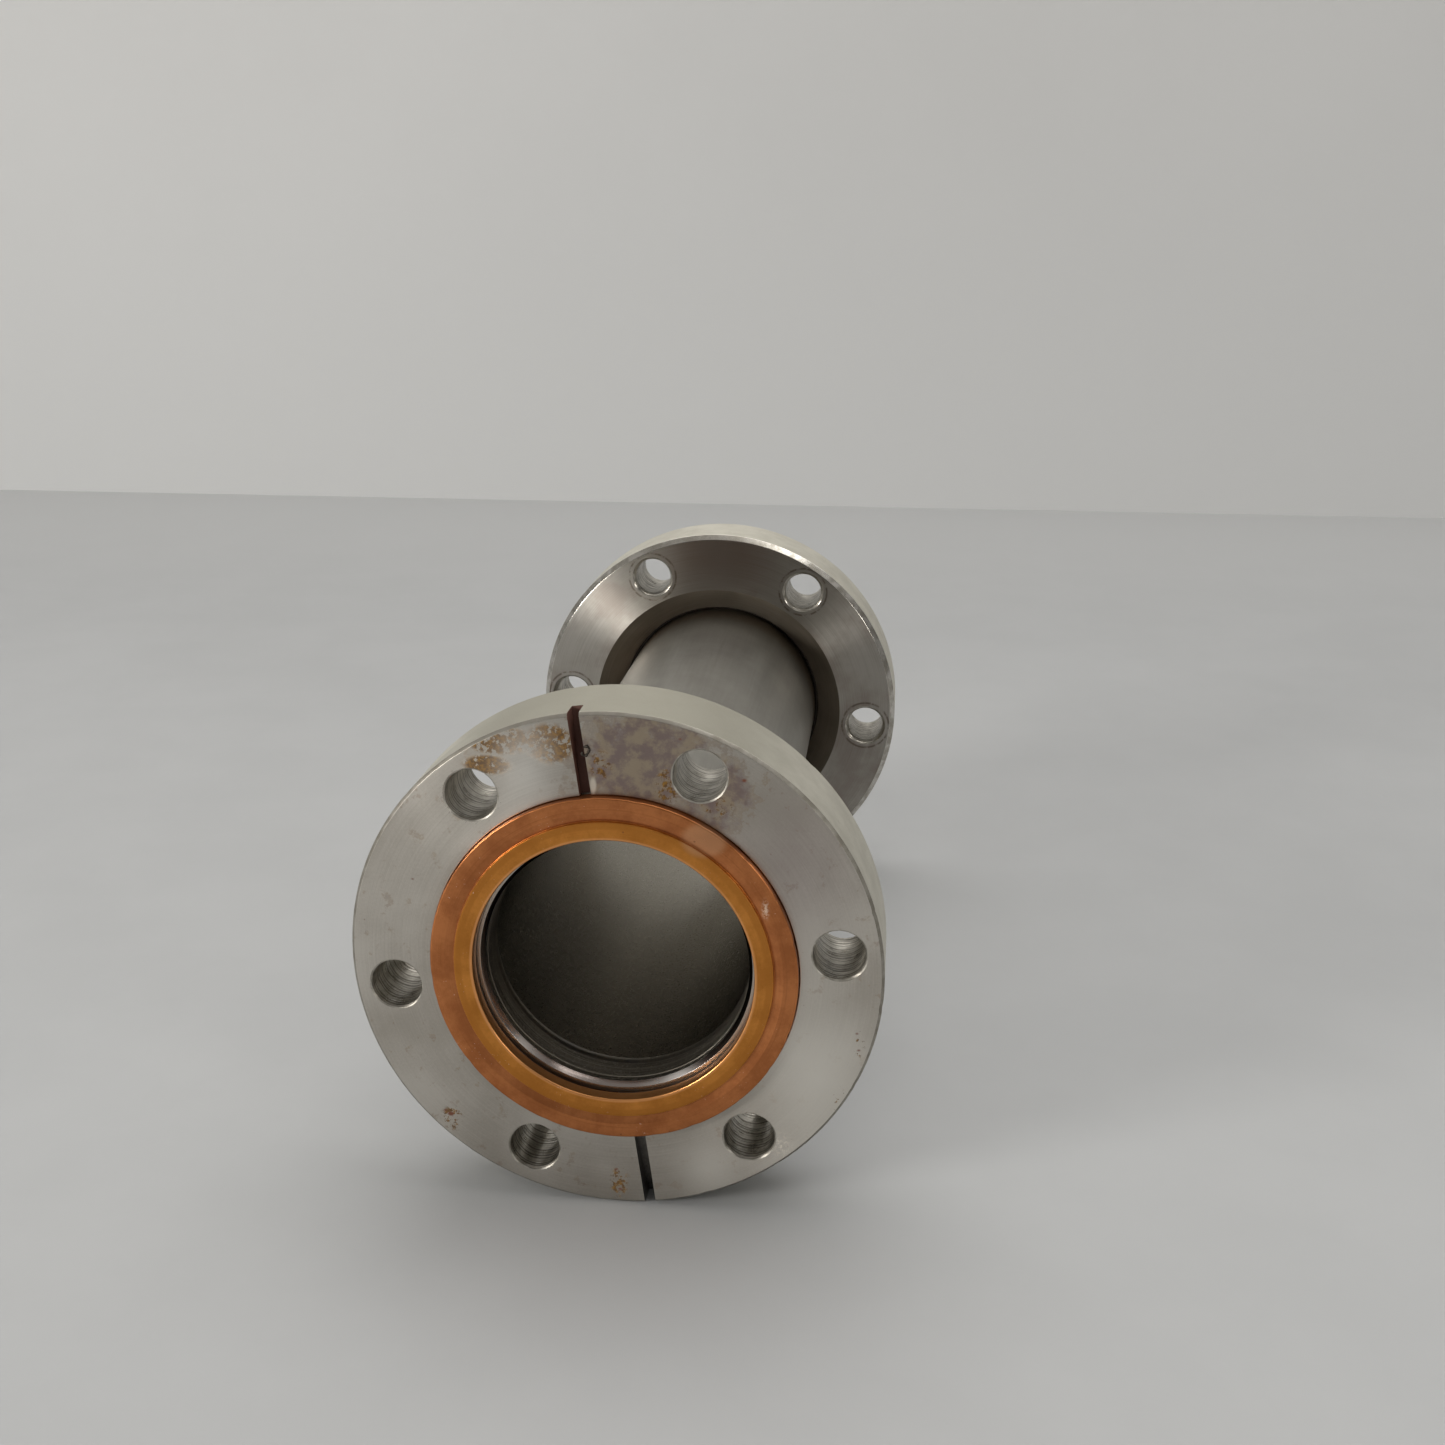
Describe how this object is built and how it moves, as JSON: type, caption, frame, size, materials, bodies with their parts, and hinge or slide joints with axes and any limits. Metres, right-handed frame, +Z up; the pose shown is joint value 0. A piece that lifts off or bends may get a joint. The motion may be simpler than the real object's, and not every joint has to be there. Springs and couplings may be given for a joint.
{
  "type": "straight vacuum pipe fitting",
  "caption": "Straight stainless vacuum pipe fitting with a fixed knife-edge bolting flange, a rotatable one, and a copper ring gasket in the fixed seat.",
  "frame": {"origin": "centre of the front flange's mating face, on the bore axis", "axes": "+Y along the bore from the front flange to the rear rotatable flange, +Z up with the fitting lying on its flange rims, +X to the right seen from the front"},
  "size_m": [0.0698, 0.1281, 0.0698],
  "materials": {
    "stainless_tube": "pickled matte stainless steel, drawn",
    "stainless_flange": "satin turned stainless steel, lightly stained",
    "stainless_ring": "bright turned stainless steel",
    "stainless_weld": "fused seal weld",
    "spring_wire": "drawn spring wire",
    "copper": "used, lightly oxidised copper"
  },
  "bodies": {
    "fitting": {"tube": "stainless_tube", "front_flange": "stainless_flange", "front_weld_bead": "stainless_weld", "rear_insert": "stainless_flange", "rear_weld_bead": "stainless_weld", "retaining_ring": "spring_wire"},
    "bolt_ring": {"rear_receiver": "stainless_ring"},
    "gasket": {"gasket": "copper"}
  },
  "joints": [
    {"name": "bolt_ring_spin", "type": "hinge", "parent": "fitting", "child": "bolt_ring", "pos_m": [0, 0.1207, 0], "axis": [0, 1, 0], "continuous": true},
    {"name": "gasket_lift_out", "type": "slide", "parent": "fitting", "child": "gasket", "axis": [0, -1, 0], "range_m": [0, 0.02]}
  ]
}
